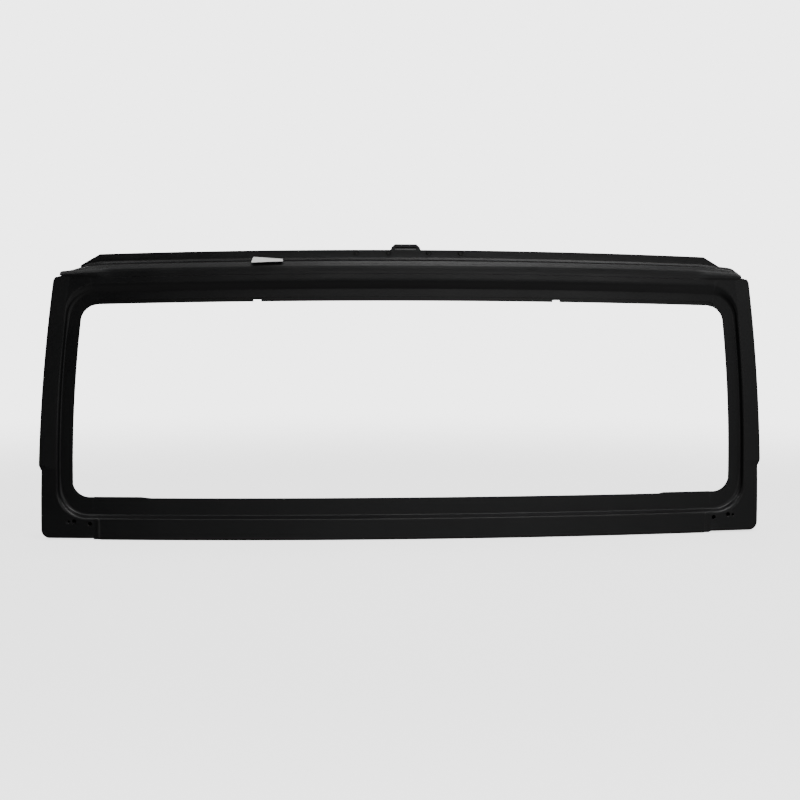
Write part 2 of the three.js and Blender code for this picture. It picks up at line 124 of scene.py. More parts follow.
HEADER_SET_BACK = 8  # the header's front flange stops short of the rear one
NOTCH_PLACES = (-309.5, 301.5)
NOTCH_WIDTH = 17
NOTCH_HEIGHT = 4

# The door rails, over the pillars' faces and sides.
DOOR_BOTTOM = 156
DOOR_END = 144
DOOR_TUCK = 3.6  # its ends are joggled in by this much
DOOR_SHOULDER = 537
DOOR_TOP = 545.5  # 543 in the CAD model
DOOR_INNER_OFFSET = 33
DOOR_DEPTH = 34
DOOR_LIP = 4
DOOR_FOOT_PROUD = 0.2  # how far its lower end stands off the face
DOOR_ROUNDS = (3.4, 1.8)

HINGE_BOLTS = ((648, 32.5, 4.3), (680, 37.5, 4.3), (691, 36.8, 2.5))  # x, z, radius
HINGE_NUT = {"flats": 13, "height": 6, "bore": 4.3}
HINGE_PLATE_THICKNESS = 3

# The seat is 1.7 farther back than in the CAD model.
BRACKET = {"thickness": 2.5, "seat": 50, "foot": 574, "shoulder": 588.8, "top": 601, "tab": -6.5}
FLANGE_BOLT = {"z": 584, "hole": 3.4, "shank": 3, "flats": 10, "head": 4, "nut": 5}
FLANGE_BOLT_PLACES = {"bracket": 41, "flange": 107}

depth_origin = cad_box[0][1] / MM - FRONT_DEPTH
height_origin = cad_box[0][2] / MM


def ramp(value, start, end):
    """Runs from 0 at the start to 1 at the end, and is level beyond them."""
    return np.clip((value - start) / (end - start), 0, 1)


def eased(share):
    return share ** 2 * (3 - 2 * share)


def conic(start, bend, end, weight, t):
    """Points of a curve that leaves start and reaches end along the lines through bend."""
    parts = (1 - t) ** 2, 2 * t * (1 - t) * weight, t ** 2
    return (parts[0] * start + parts[1] * bend + parts[2] * end) / sum(parts)


# ---------- body curvature

def slope(x):
    return np.clip(x, -STRAIGHT_FROM, STRAIGHT_FROM) / BOW_RADIUS


def place(x, depth, z):
    """Points of the bowed and crowned frame, in millimetres, from flat coordinates."""
    x, depth, z = np.broadcast_arrays(*(np.asarray(v, float) for v in (x, depth, z)))
    curved = np.minimum(np.abs(x), STRAIGHT_FROM)
    bow = curved ** 2 / (2 * BOW_RADIUS) + (np.abs(x) - curved) * STRAIGHT_FROM / BOW_RADIUS
    share = np.maximum(0, z - CROWN_START) / (FRAME_TOP - CROWN_START)
    crown = CROWN_DROP * share * (x / CROWN_HALF_WIDTH) ** 2
    return np.stack([x, depth + bow + depth_origin, z - crown + height_origin], axis=-1)


def side_at(side, z):
    half_width, taper, curve = side
    height = np.asarray(z, float) - SIDE_REFERENCE
    return half_width - taper * height - curve * height ** 2


# ---------- frame lines

SILL_STEPS = 120
FOOT_STEPS = 3
CORNER_STEPS = 24
SIDE_STEPS = 70
SHOULDER_STEPS = 4
CORNER_LEAD = 7  # spacing of the header's stations where the upper corner begins
LEAD_STEPS = 6
HEADER_STEPS = 60


def on_corner(start, corner, end, share):
    """Points on a round corner that is tangent to both lines through its sharp corner."""
    t = np.atleast_1d(np.asarray(share, float))[:, None]
    return conic(*(np.asarray(p, float) for p in (start, corner, end)), math.sqrt(0.5), t)


def share_at(corner, x):
    """How far along an inward corner reaches x, for each x."""
    fine = np.linspace(0, 1, 801)
    return np.interp(-np.asarray(x, float), -on_corner(*corner, fine)[:, 0], fine)


def frame_line(bottom, top, side, offset=0, lower_radius=32, upper_radius=32, fall=0,
               side_steps=SIDE_STEPS):
    """One line of the ring on the right half: runs of (x, z) for sill, pillar and header."""
    def edge(z):
        return float(side_at(side, z)) + offset

    def upper(x):
        return top - fall * np.clip((x - FALL_START) / FALL_LENGTH, 0, None) ** 1.5

    low = (edge(bottom), bottom)
    high_x = edge(top - fall)
    high = (high_x, float(upper(high_x)))
    low_start, high_start = low[0] - lower_radius, high_x - upper_radius
    low_end, high_end = bottom + lower_radius, high[1] - upper_radius
    lower = ((low_start, bottom), low, (edge(low_end), low_end))
    higher = ((edge(high_end), high_end), high, (high_start, float(upper(high_start))))

    def top_line(x):
        x = np.asarray(x, float)
        line = np.stack([x, upper(x)], axis=1)
        inside = x > high_start
        line[inside] = on_corner(*higher, share_at(higher, x[inside]))
        return line

    heights = np.linspace(low_end, high_end, side_steps + 1)[1:-1]
    corner_end = max(high_start, RING_SPLIT + CORNER_LEAD)
    shares = np.linspace(0, float(share_at(higher, corner_end)), CORNER_STEPS + 1)
    foot = np.linspace(RING_SPLIT, low_start, FOOT_STEPS + 1)[:-1]
    shoulder = np.linspace(corner_end, RING_SPLIT, SHOULDER_STEPS + 1)[1:]
    pillar = np.concatenate([
        np.stack([foot, np.full_like(foot, bottom)], axis=1),
        on_corner(*lower, np.linspace(0, 1, CORNER_STEPS + 1)),
        np.stack([side_at(side, heights) + offset, heights], axis=1),
        on_corner(*higher, shares),
        top_line(shoulder),
    ])
    across = np.linspace(-RING_SPLIT, RING_SPLIT, SILL_STEPS + 1)
    sill = np.stack([across, np.full_like(across, bottom)], axis=1)
    half = np.concatenate([
        np.linspace(RING_SPLIT, RING_SPLIT - 2 * CORNER_LEAD, LEAD_STEPS + 1)[:-1],
        np.linspace(RING_SPLIT - 2 * CORNER_LEAD, 0, HEADER_STEPS + 1)])
    right = top_line(half)
    header = np.concatenate([right, (right * (-1, 1))[-2::-1]])
    return {"sill": sill, "pillar": pillar, "header": header}


def line_grid(lines, run):
    """Rows along the run, columns across the panel, from pairs of a frame line and a depth."""
    columns = [place(line[run][:, 0], depth, line[run][:, 1]) for line, depth in lines]
    return np.stack(columns, axis=1)


def cross_grid(stations, profile):
    """The same (depth, z) profile at every station across the frame."""
    profile = np.asarray(profile, float)
    return place(np.asarray(stations, float)[:, None], profile[None, :, 0], profile[None, :, 1])


# ---------- sheet meshes

def unit(v):
    return v / np.maximum(np.linalg.norm(v, axis=-1, keepdims=True), 1e-9)


LEAST_REACH = 0.02  # keeps the two ends of every fillet apart
LARGEST_SHARE = 0.46  # a fillet takes no more than this of the flats beside it


def filleted(grid, radii, arc_steps=6, flat_steps=3):
    """Rounds the bends across a grid. radii has one entry, or one column, per inner point.

    flat_steps is one number, or one for each stretch between the bends.
    """
    stretches = grid.shape[1] - 1
    steps = [flat_steps] * stretches if isinstance(flat_steps, int) else flat_steps
    columns = [grid[:, 0]]
    here = grid[:, 0]
    for j in range(1, grid.shape[1] - 1):
        before, bend, after = grid[:, j - 1], grid[:, j], grid[:, j + 1]
        back, ahead = unit(before - bend), unit(after - bend)
        half = np.arccos(np.clip((back * ahead).sum(-1), -1, 1)) / 2
        reach = np.asarray(radii[j - 1]) / np.tan(np.maximum(half, 1e-3))
        room = np.minimum(*(np.linalg.norm(end - bend, axis=-1) for end in (before, after)))
        reach = np.clip(reach, LEAST_REACH, LARGEST_SHARE * room)[:, None]
        start, end, weight = bend + back * reach, bend + ahead * reach, np.sin(half)[:, None]
        columns += [here + (start - here) * s / steps[j - 1] for s in range(1, steps[j - 1] + 1)]
        columns += [conic(start, bend, end, weight, s / arc_steps) for s in range(1, arc_steps + 1)]
        here = end
    last = grid[:, -1]
    columns += [here + (last - here) * s / steps[-1] for s in range(1, steps[-1] + 1)]
    return np.stack(columns, axis=1)


RIM_ROUND = 0.4
RIM_STEPS = 3


def thickened(grid, thickness):
    """Closed rings of points round a sheet's section, one ring per row, with rounded rims."""
    along = np.gradient(grid, axis=0)
    across = np.gradient(grid, axis=1)
    rear = unit(np.cross(along, across))
    side = unit(across)
    rim = min(RIM_ROUND, 0.3 * thickness)
    front = grid.copy()
    front[:, 0] += side[:, 0] * rim
    front[:, -1] -= side[:, -1] * rim
    back = front + rear * thickness

    def corner(j, out, from_front):
        edge = grid[:, j]
        centre = edge - out * rim + rear[:, j] * (rim if from_front else thickness - rim)
        angles = np.linspace(0, math.pi / 2, RIM_STEPS + 1)[1:-1]
        face = -rear[:, j] if from_front else rear[:, j]
        arc = [centre + rim * (face * math.cos(a) + out * math.sin(a)) for a in angles]
        return arc + [centre + rim * out]

    first_out, last_out = -side[:, 0], side[:, -1]
    ring = [front[:, j] for j in range(grid.shape[1])]
    ring += corner(-1, last_out, True) + corner(-1, last_out, False)[::-1]
    ring += [back[:, j] for j in range(grid.shape[1])][::-1]
    ring += corner(0, first_out, False) + corner(0, first_out, True)[::-1]
    return np.stack(ring, axis=1), unit(along), rim


def ring_faces(count, size, closed=False, capped=True):
    """Faces between rings of points, joined in a loop or with a cap at each end."""
    faces = []
    for i in range(count if closed else count - 1):
        here, onward = i * size, (i + 1) % count * size
        for j in range(size):
            k = (j + 1) % size
            faces.append((here + j, here + k, onward + k, onward + j))
    if capped and not closed:
        faces += [tuple(range(size)), tuple(range((count - 1) * size, count * size))]
    return faces


def sheet_mesh(name, grid, thickness=SHEET, round_ends=(True, True)):
    """A mesh of sheet metal from points on its front, with closed ends and rounded rims."""
    rings, along, rim = thickened(grid, thickness)
    count = grid.shape[1]
    edge = 2 * RIM_STEPS  # points of a ring that lie round one rim

    def round_ring(row):
        """Spreads one row's values over the whole ring: front, rim, back and rim."""
        rims = [np.repeat(row[k:k + 1], edge, axis=0) for k in (count - 1, 0)]
        return np.concatenate([row, rims[0], row[::-1], rims[1]])

    rings = list(rings)
    for end, inward, rounded in ((0, 1, round_ends[0]), (-1, -1, round_ends[1])):
        if not rounded:
            continue
        ring = rings[end]
        front, back = ring[:count], ring[count + edge:2 * count + edge][::-1]
        full = round_ring((front + back) / 2)
        small = full + (ring - full) * (1 - 2 * rim / thickness)
        moved = ring + inward * round_ring(along[end]) * rim
        if end == 0:
            rings[0] = moved
            rings.insert(0, small)
        else:
            rings[-1] = moved
            rings.append(small)
    rings = np.array(rings)
    rows, size = rings.shape[:2]
    faces = ring_faces(rows, size, capped=False)
    for row, flip in ((0, False), (rows - 1, True)):
        base = row * size
        opposite = 2 * count + edge - 1
        cap = [(base + j, base + opposite - j, base + opposite - j - 1, base + j + 1)
               for j in range(count - 1)]
        cap.append(tuple(base + j for j in range(count - 1, count + edge + 1))[::-1])
        cap.append(tuple(base + j % size for j in range(opposite, opposite + edge + 2))[::-1])
        faces += [tuple(reversed(f)) for f in cap] if flip else cap
    return mesh_object(name, rings.reshape(-1, 3), faces)


def mesh_object(name, points, faces):
    mesh = bpy.data.meshes.new(name)
    mesh.from_pydata((np.asarray(points) * MM).tolist(), [], faces)
    mesh.validate()
    repaired = bmesh.new()
    repaired.from_mesh(mesh)
    bmesh.ops.recalc_face_normals(repaired, faces=repaired.faces)
    repaired.to_mesh(mesh)
    repaired.free()
    piece = bpy.data.objects.new(name, mesh)
    bpy.context.scene.collection.objects.link(piece)
    return piece


def on_side(grid, sign):
    """A grid of the right half, or its mirror image with the rows reversed to keep its rear."""
    return grid if sign > 0 else (grid * np.array([-1, 1, 1]))[::-1]


SHARP_ANGLE = 38


def smooth(piece, angle=SHARP_ANGLE):
    for polygon in piece.data.polygons:
        polygon.use_smooth = True
    piece.data.set_sharp_from_angle(angle=math.radians(angle))
    weighted = piece.modifiers.new("even shading", "WEIGHTED_NORMAL")
    weighted.keep_sharp = True


def baked(piece):
    """Applies a piece's modifiers to its mesh."""
    bpy.context.view_layer.update()
    evaluated = piece.evaluated_get(bpy.context.evaluated_depsgraph_get())
    mesh = bpy.data.meshes.new_from_object(evaluated)
    piece.modifiers.clear()
    piece.data = mesh


def cut(piece, cutters):
    """Takes the cutters out of the piece."""
    for cutter in cutters:
        boolean = piece.modifiers.new("hole", "BOOLEAN")
        boolean.operation = "DIFFERENCE"
        boolean.solver = "EXACT"
        boolean.object = cutter
    baked(piece)
    for cutter in cutters:
        bpy.data.objects.remove(cutter)


def finish_piece(piece, *, nodes, material):
    """Gives a piece its finish and ties it to the CAD nodes it stands for."""
    piece.data.materials.clear()
    piece.data.materials.append(material)
    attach(piece, BODY)
    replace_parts(piece, *nodes)


# ---------- materials

def feed(node, inputs):
    """Links or sets a node's inputs, from a dictionary of their names or numbers."""
    for socket, value in inputs.items():
        if isinstance(value, bpy.types.NodeSocket):
            node.id_data.links.new(value, node.inputs[socket])
        else:
            node.inputs[socket].default_value = value


def add_node(tree, kind, inputs, **settings):
    node = tree.nodes.new("ShaderNode" + kind)
    for name, value in settings.items():
        setattr(node, name, value)
    feed(node, inputs)
    return node


def new_material(name):
    material = bpy.data.materials.new(name)
    material.use_nodes = True
    tree = material.node_tree
    return material, tree, tree.nodes["Principled BSDF"]


def noise(tree, scale, detail=2.0, roughness=0.5, stretch_to=None):
    """A noise factor in the object's own coordinates, in metres."""
    source = add_node(tree, "TexCoord", {}).outputs["Object"]
    if stretch_to:
        source = add_node(tree, "Mapping", {"Vector": source, "Scale": stretch_to}).outputs["Vector"]
    inputs = {"Vector": source, "Scale": scale, "Detail": detail, "Roughness": roughness}
    return add_node(tree, "TexNoise", inputs).outputs["Fac"]


def remap(tree, value, low, high, from_low=0.3, from_high=0.7, **settings):
    inputs = {"Value": value, "From Min": from_low, "From Max": from_high,
              "To Min": low, "To Max": high}
    return add_node(tree, "MapRange", inputs, **settings).outputs["Result"]


def mix_colour(tree, factor, first, second):
    first, second = ((*c, 1) if isinstance(c, tuple) else c for c in (first, second))
    inputs = {"Factor": factor, 6: first, 7: second}
    return add_node(tree, "Mix", inputs, data_type="RGBA").outputs[2]


def add_values(tree, first, second):
    """The sum of two factors, held between 0 and 1."""
    return add_node(tree, "Math", {0: first, 1: second}, use_clamp=True).outputs[0]


def bump(tree, height, distance, strength, **normal):
    inputs = {"Height": height, "Distance": distance, "Strength": strength, **normal}
    return add_node(tree, "Bump", inputs).outputs["Normal"]


def black_coat_material():
    """Satin black dip coat on pressed steel: a faint orange peel, handling haze, rubbed edges."""
    material, tree, shader = new_material("black_coat")
    pointiness = add_node(tree, "NewGeometry", {}).outputs["Pointiness"]
    rubbed = remap(tree, pointiness, 0, 1, 0.53, 0.62)
    patchy = remap(tree, noise(tree, 60, 4), 0, 1, 0.42, 0.66)
    wear = add_node(tree, "Math", {0: rubbed, 1: patchy}, operation="MULTIPLY").outputs[0]
    haze = remap(tree, noise(tree, 5, 5, 0.6), 0, 1)
    tone = mix_colour(tree, haze, (0.0020, 0.0020, 0.0023), (0.0036, 0.0036, 0.0040))
    gloss = remap(tree, noise(tree, 9, 5, 0.6), 0.33, 0.43)
    fine = remap(tree, noise(tree, 420, 2), -0.02, 0.03)
    ripple = bump(tree, noise(tree, 14, 1), 0.0009, 0.3)
    feed(shader, {
        "Metallic": 0,
        "Specular IOR Level": 0.36,
        "Base Color": mix_colour(tree, wear, tone, (0.014, 0.014, 0.015)),
        "Roughness": add_values(tree, gloss, fine),
        "Normal": bump(tree, noise(tree, 850, 1), 0.00002, 0.55, Normal=ripple),
    })
    return material


def dark_zinc_material():
    """Black zinc plating on the fasteners."""
    material, tree, shader = new_material("dark_zinc")
    patchy = remap(tree, noise(tree, 180, 4), 0, 1)
    feed(shader, {
        "Metallic": 0.85,
        "Base Color": mix_colour(tree, patchy, (0.011, 0.0115, 0.012), (0.026, 0.026, 0.025)),
        "Roughness": remap(tree, noise(tree, 320, 3), 0.32, 0.5),
        "Normal": bump(tree, noise(tree, 1400, 2), 0.00002, 0.6),
    })
    return material


def label_paper_material():
    """Blank matt paper with a faint fibre."""
    material, tree, shader = new_material("label_paper")
    fibre = remap(tree, noise(tree, 700, 4, 0.6, (1, 3, 1)), 0, 1)
    feed(shader, {
        "Specular IOR Level": 0.25,
        "Base Color": mix_colour(tree, fibre, (0.80, 0.80, 0.79), (0.88, 0.88, 0.87)),
        "Roughness": remap(tree, noise(tree, 90, 3), 0.62, 0.8),
        "Normal": bump(tree, noise(tree, 900, 3), 0.00003, 0.6),
    })
    return material


coat = black_coat_material()
zinc = dark_zinc_material()
paper = label_paper_material()


def coated(piece, *nodes, angle=SHARP_ANGLE):
    smooth(piece, angle)
    finish_piece(piece, nodes=nodes, material=coat)


# ---------- cutters

def frame_matrix(x, depth, z):
    """Puts a piece drawn about its own origin at a place on the frame, turned with the bow."""
    origin = Vector((place(x, depth, z) * MM).tolist())
    return Matrix.Translation(origin) @ Matrix.Rotation(math.atan(float(slope(x))), 4, "Z")


ROUND_STEPS = 48


def revolved(name, rings, steps=ROUND_STEPS, closed=False):
    """A solid about the depth axis, from rings of (radius, depth). A radius may vary round it."""
    angles = np.linspace(0, 2 * math.pi, steps, endpoint=False)
    points = []
    for radii, depth in rings:
        radii = np.broadcast_to(radii, angles.shape)
        points += [(r * math.cos(a), depth, r * math.sin(a)) for r, a in zip(radii, angles)]
    return mesh_object(name, points, ring_faces(len(rings), steps, closed))


def round_cutter(x, depth, z, radius, flare=0.5):
    """Cuts a round hole through a sheet whose front is at depth, with a broken front edge."""
    profile = [(radius + 3, -3), (radius + flare, 0.0), (radius, flare), (radius, 10)]
    cutter = revolved("cutter", profile)
    cutter.matrix_world = frame_matrix(x, depth, z)
    return cutter


def plain_cutter(x, depth, z, radius):
    """A plain round cutter through a panel and its collar."""
    cutter = revolved("cutter", [(radius, -12), (radius, 12)])
    cutter.matrix_world = frame_matrix(x, depth, z)
    return cutter


def extruded(name, outline, front, rear):
    """A closed prism along the depth, from an (x, z) outline."""
    points = [(x, depth, z) for depth in (front, rear) for x, z in outline]
    faces = ring_faces(2, len(outline))
    return mesh_object(name, points, [faces[-2][::-1], faces[-1], *faces[:-2]])


def cross_prism(name, profile, low, high):
    """A closed prism along x, from a (depth, z) profile."""
    points = [(x, depth, z) for x in (low, high) for depth, z in profile]
    return mesh_object(name, points, ring_faces(2, len(profile)))


def slot_outline(length, height, steps=16):
    straight = (length - height) / 2
    right = [(straight + height / 2 * math.cos(a), height / 2 * math.sin(a))
             for a in np.linspace(-math.pi / 2, math.pi / 2, steps)]
    return right + [(-x, -z) for x, z in right]


def slot_cutter(x, depth, z, length, height):
    cutter = extruded("cutter", slot_outline(length, height), -12, 12)
    cutter.matrix_world = frame_matrix(x, depth, z)
    return cutter


# ---------- outer panels

FOOT_ROUND = 2.6
LIP_ROUND = 3.2
FACE_ROUND = 4.5
HEADER_LIP_ROUND = 18  # the header's face rolls over softly into the step
HEADER_LIP_RAMP = (440, 510)  # heights over which that starts on the pillars
CORNER_ROUND = 6  # extra radius round the four corners
CORNER_OUT = (575, 665)  # where it starts and where it is full, outwards, upwards and downwards
CORNER_UP = (420, 500)
CORNER_DOWN = (125, 85)

CREASE_PLACE = 631  # the pressed crease near the sill's ends
CREASE_WIDTH = 4.5
CREASE_HEIGHT = 0.9
CREASE_STATIONS = (622, RING_SPLIT, 39)
CREASE_RUN_OUT = 10

SKIRT_FOOT = 541  # the rail's lower edge
FACE_LEAN = 0.5  # how far the header's face leans back at that edge
FLUSH_END = (595, 632)  # the skirt is flush with the header up to the first, proud beyond


def ring_lines():
    """The ring's lines from the glass outwards: opening, foot and lip of the step, edge."""
    opening = frame_line(**OPENING, side=OPENING_SIDE, **OPENING_RADII)
    foot = frame_line(**REBATE_FOOT, side=OPENING_SIDE, offset=FOOT_OFFSET, **FOOT_RADII)
    lip = frame_line(**REBATE_LIP, side=OPENING_SIDE, offset=LIP_OFFSET, **LIP_RADII)
    edge = frame_line(**FACE, side=OUTER_SIDE, offset=-SIDE_STEP, **FACE_RADII, fall=FACE_FALL)
    return opening, foot, lip, edge


opening_line, foot_line, lip_line, face_line = ring_lines()
panel_lines = [(opening_line, GLASS_DEPTH), (foot_line, GLASS_DEPTH), (lip_line, 0), (face_line, 0)]


def flush_share(x):
    return eased(ramp(np.abs(x), *FLUSH_END[::-1]))


def step_rounds(run):
    """Fillet radii at the foot and the lip of the step, for each row of a run."""
    x, z = np.abs(lip_line[run][:, 0]), lip_line[run][:, 1]
    upper = ramp(z, *HEADER_LIP_RAMP)
    corner = ramp(x, *CORNER_OUT) * np.maximum(ramp(z, *CORNER_UP), ramp(z, *CORNER_DOWN))
    foot = FOOT_ROUND + CORNER_ROUND * corner
    lip = LIP_ROUND + (HEADER_LIP_ROUND - LIP_ROUND) * upper + CORNER_ROUND * corner * (1 - upper)
    return foot, lip


def header_outer_panel():
    """The header's flange, step and face, which ends under the skirt of the rail."""
    flange = frame_line(OPENING["bottom"], OPENING["top"] + HEADER_SET_BACK, OPENING_SIDE,
                        **OPENING_RADII)
    butt = face_line["header"].copy()
    flush = flush_share(butt[:, 0])
    butt[:, 1] -= (butt[:, 1] - SKIRT_FOOT + GAP) * flush
    lines = [(flange, GLASS_DEPTH), *panel_lines[1:3], ({"header": butt}, FACE_LEAN * flush)]
    grid = filleted(line_grid(lines, "header"), step_rounds("header"), 8, (4, 4, 10))
    panel = sheet_mesh("header_face", grid, round_ends=(False, False))
    coated(panel, "header_outer_panel")


def pillar_outer_panels():
    """Both pillars' faces with their steps and side returns, bored for the hinge bolts."""
    lines = [*panel_lines, (face_line, RETURN_DEPTH)]
    foot, lip = step_rounds("pillar")
    grid = filleted(line_grid(lines, "pillar"), (foot, lip, np.full_like(foot, FACE_ROUND)), 8)
    for side, sign in SIDES:
        name = f"{side}_pillar_face"
        panel = sheet_mesh(name, on_side(grid, sign), round_ends=(False, False))
        cut(panel, [round_cutter(sign * x, 0, z, radius) for x, z, radius in HINGE_BOLTS])
        coated(panel, f"{side}_pillar_outer_panel")


def sill_outer_panel():
    """Face, step and flange of the sill, with a pressed crease beside each corner panel."""
    stations = np.union1d(np.linspace(-RING_SPLIT, RING_SPLIT, SILL_STEPS + 1),
                          [s * x for s in (-1, 1) for x in np.linspace(*CREASE_STATIONS)])
    levels = (OPENING["bottom"], REBATE_FOOT["bottom"], REBATE_LIP["bottom"], FACE["bottom"])
    grid = cross_grid(stations, list(zip((GLASS_DEPTH, GLASS_DEPTH, 0, 0), levels)))
    corner = CORNER_ROUND * ramp(np.abs(stations), *CORNER_OUT)
    grid = filleted(grid, (FOOT_ROUND + corner, LIP_ROUND + corner), 8, (4, 3, 12))
    ridge = np.exp(-((np.abs(grid[..., 0]) - CREASE_PLACE) / CREASE_WIDTH) ** 2 * 4)
    step = REBATE_FOOT["bottom"] + height_origin
    grid[..., 1] -= CREASE_HEIGHT * ridge * ramp(grid[..., 2], step, step - CREASE_RUN_OUT)
    panel = sheet_mesh("sill_face", grid, round_ends=(False, False))
    coated(panel, "sill_outer_panel")


def sill_cowl_flange():
    """The strip behind the sill's lower edge."""
    stations = np.linspace(-COWL_END, COWL_END, 90)
    grid = filleted(cross_grid(stations, [(LAYER, 20), (LAYER, 10), (LAYER, 0)]), (1,), 2, 2)
    coated(sheet_mesh("cowl_strip", grid), "sill_cowl_flange")


# ---------- header rail

FEATHER = -0.1  # the rails' edges are dressed down nearly flush with the face

# The rail's section as (depth, z): skirt, nose, drain groove, floor and the rise to the plate.
RAIL_MIDDLE = [
    (FACE_LEAN, SKIRT_FOOT), (0.9, 546.5), (1.7, 552), (3.1, 557.2), (5.2, 562), (7.6, 560),
    (10.8, 559.5), (14.2, 567), (40.7, 568.6), (BOX_DEPTH, 573.5), (BOX_DEPTH, 575),
]
RAIL_PROUD = (0.6, 2.7, 2.2, 1.2, 0, 0, 0, 0, 0, 0, 0)  # how far forward near its ends
RAIL_TIP_DEPTHS = (FEATHER, -LAYER, -0.7, 0.5, 1.7, 3, 5, 7, 9, 12, 13)
# Each tip's heights, and how far the section has turned into the tip's at each half width.
RAIL_TIPS = {
    "left": {"length": 704, "foot": 544.8, "lift": 6.6, "drop": 3, "skirt": 549.5, "top": 557,
             "shares": ((0, 0), (620, 0), (648, 0.25), (660, 0.55), (671, 0.77), (683, 0.93),
                        (694, 0.99), (704, 1))},
    "right": {"length": 700, "foot": 543.5, "lift": 0, "drop": 0, "skirt": 549, "top": 552.5,
              "shares": ((0, 0), (620, 0), (655, 0.18), (668, 0.23), (678, 0.26), (689, 0.33),
                         (695, 0.6), (700, 1))},
}
RAIL_ROUNDS = (14, 14, 14, 1.2, 1.4, 1.4, 1.8, 2.5, 1)
RAIL_DENSE_FROM = 560  # the stations are closer beyond this half width
RAIL_END_ROUND = 6  # length of the curve at the very end of a tip
SMOOTHING = 4  # stations on either side that the tips' shares are averaged over


def rail_stations(side):
    """Half widths from the middle of the rail to the end of one tip."""
    dense = np.linspace(RAIL_DENSE_FROM, RAIL_TIPS[side]["length"], 71)
    return np.concatenate([np.linspace(0, RAIL_DENSE_FROM, 60), dense[1:]])


def header_rail():
    """The roof rail, whose section turns into a flat pointed tip at each end."""
    stations = np.concatenate([rail_stations("right")[::-1], -rail_stations("left")[1:]])
    middle = np.repeat(np.array([RAIL_MIDDLE], float), len(stations), axis=0)
    middle[..., 0] -= np.outer(1 - flush_share(stations), RAIL_PROUD)
    kernel = np.hanning(2 * SMOOTHING + 1)
    kernel /= kernel.sum()
    profile = middle.copy()
    for name, half in (("right", stations >= 0), ("left", stations < 0)):
        tip = RAIL_TIPS[name]
        nose = np.linspace(tip["skirt"], tip["top"], 4)
        levels = [tip["foot"], *nose, *[tip["top"]] * (len(RAIL_MIDDLE) - 5)]
        end = np.stack([RAIL_TIP_DEPTHS, levels], axis=1)
        share = np.interp(np.abs(stations), *zip(*tip["shares"]))
        share = np.convolve(np.pad(share, SMOOTHING, mode="edge"), kernel, mode="valid")[half]
        profile[half] += (end - middle[half]) * share[:, None, None]
        length = tip["length"]
        end_share = ramp(np.abs(stations[half]), length - RAIL_END_ROUND, length) ** 2
        profile[half, 0, 1] += tip["lift"] * end_share
        profile[half, 2:, 1] -= tip["drop"] * end_share[:, None]
    grid = place(stations[:, None], profile[..., 0], profile[..., 1])
    skin = sheet_mesh("header_rail_skin", filleted(grid, RAIL_ROUNDS, 5, 2))
    coated(skin, "header_rail")


FLANGE_FOOT = 546
FLANGE_ENDS = ((-665, 568), (-626, FRAME_TOP), (629, FRAME_TOP), (668, 568))  # (x, z)
FLANGE_BEND = 578.5  # above this the plate leans a little back
FLANGE_LEAN = 1.9


def header_top_flange():
    """The upright plate behind the rail, with slanting ends and four bolt holes."""
    places, ends = zip(*FLANGE_ENDS)
    stations = np.union1d(np.linspace(places[0], places[-1], 170), places)[::-1]
    tops = np.interp(stations, places, ends)
    heights = FLANGE_FOOT + (tops[:, None] - FLANGE_FOOT) * np.linspace(0, 1, 15)
    lean = FLANGE_LEAN * ramp(heights, FLANGE_BEND, FRAME_TOP)
    grid = place(stations[:, None], BOX_DEPTH + LAYER + lean, heights)
    panel = sheet_mesh("top_flange_plate", grid)
    z, hole = FLANGE_BOLT["z"], FLANGE_BOLT["hole"]
    cut(panel, [round_cutter(s * x, BOX_DEPTH + LAYER, z, hole, 0.3)
                for x in FLANGE_BOLT_PLACES.values() for s in (-1, 1)])
    coated(panel, "header_top_flange")


# The label's ends as lines of (depth, z), from its front corner to its rear one.
LABEL_RIGHT = np.array([(-2, 566.9), (30, 571.8)])
LABEL_LEFT = np.array([(-3, 565.3), (33, 576.5)])
LABEL_START = -258.5
LABEL_LENGTH = 63.5
LABEL_SKEW = 5  # how much shorter it is along its rear edge
LABEL_CURL = 0.8
LABEL_THICKNESS = 0.3


def part_label():
    """The blank sticker on the rail, which bulges a little off the metal."""
    u = np.linspace(0, 1, 25)[:, None, None]
    v = np.linspace(0, 1, 13)[None, :, None]
    x = LABEL_START - (LABEL_LENGTH - LABEL_SKEW * v[..., 0]) * u[..., 0]
    right, left = ((1 - v) * end[0] + v * end[1] for end in (LABEL_RIGHT, LABEL_LEFT))
    line = (1 - u) * right + u * left
    curl = LABEL_CURL * np.sin(math.pi * u[..., 0]) * np.sin(math.pi * v[..., 0])
    label = sheet_mesh("paper_label", place(x, line[..., 0], line[..., 1] - curl), LABEL_THICKNESS)
    smooth(label)
    finish_piece(label, nodes=["part_label"], material=paper)


# ---------- pillar rails

